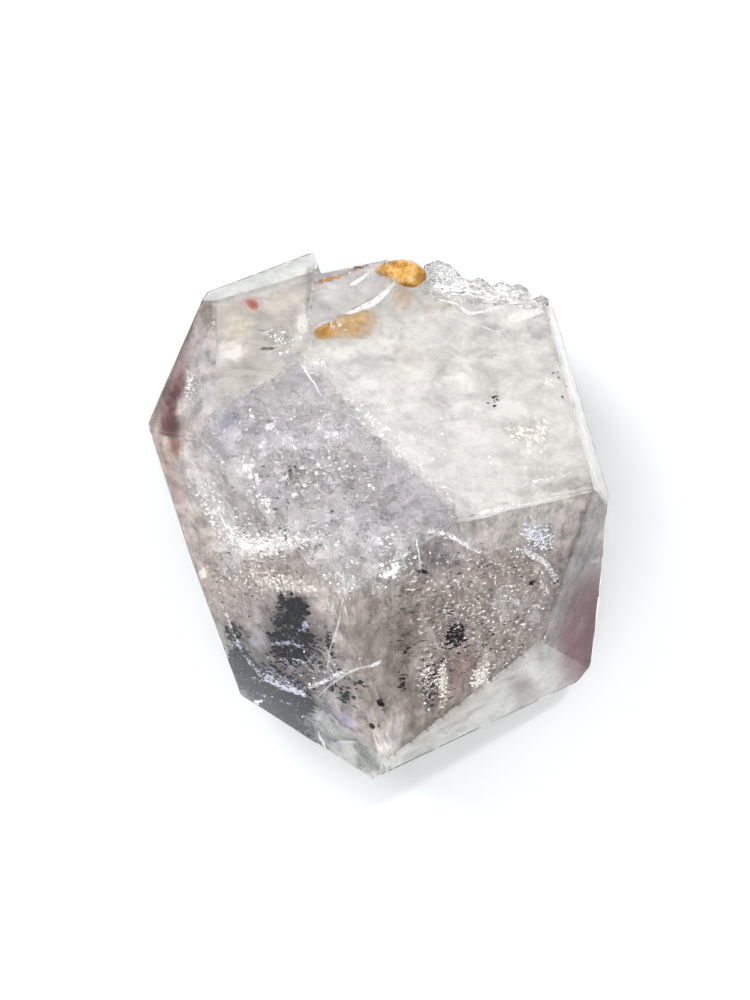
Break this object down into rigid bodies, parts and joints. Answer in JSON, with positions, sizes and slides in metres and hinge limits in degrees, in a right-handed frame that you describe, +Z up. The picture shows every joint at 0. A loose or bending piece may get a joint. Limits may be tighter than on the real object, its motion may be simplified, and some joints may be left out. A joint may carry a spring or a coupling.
{
  "type": "herkimer diamond",
  "caption": "Large, slightly smoky quartz crystal with points at both ends, veils and dark flakes inside and a broken, iron-stained top, lying on a small flat spot.",
  "frame": {"origin": "middle of the base of the bounding box, on the surface that the crystal lies on", "axes": "+Z up from that surface, +Y roughly along the crystal towards its broken end, +X across it"},
  "size_m": [0.0762, 0.0858, 0.0538],
  "materials": {
    "quartz": "natural glassy crystal faces, slightly smoky, with milky veils inside and broken, etched areas"
  },
  "bodies": {
    "root": {"herkimer_crystal": "quartz"}
  },
  "joints": []
}
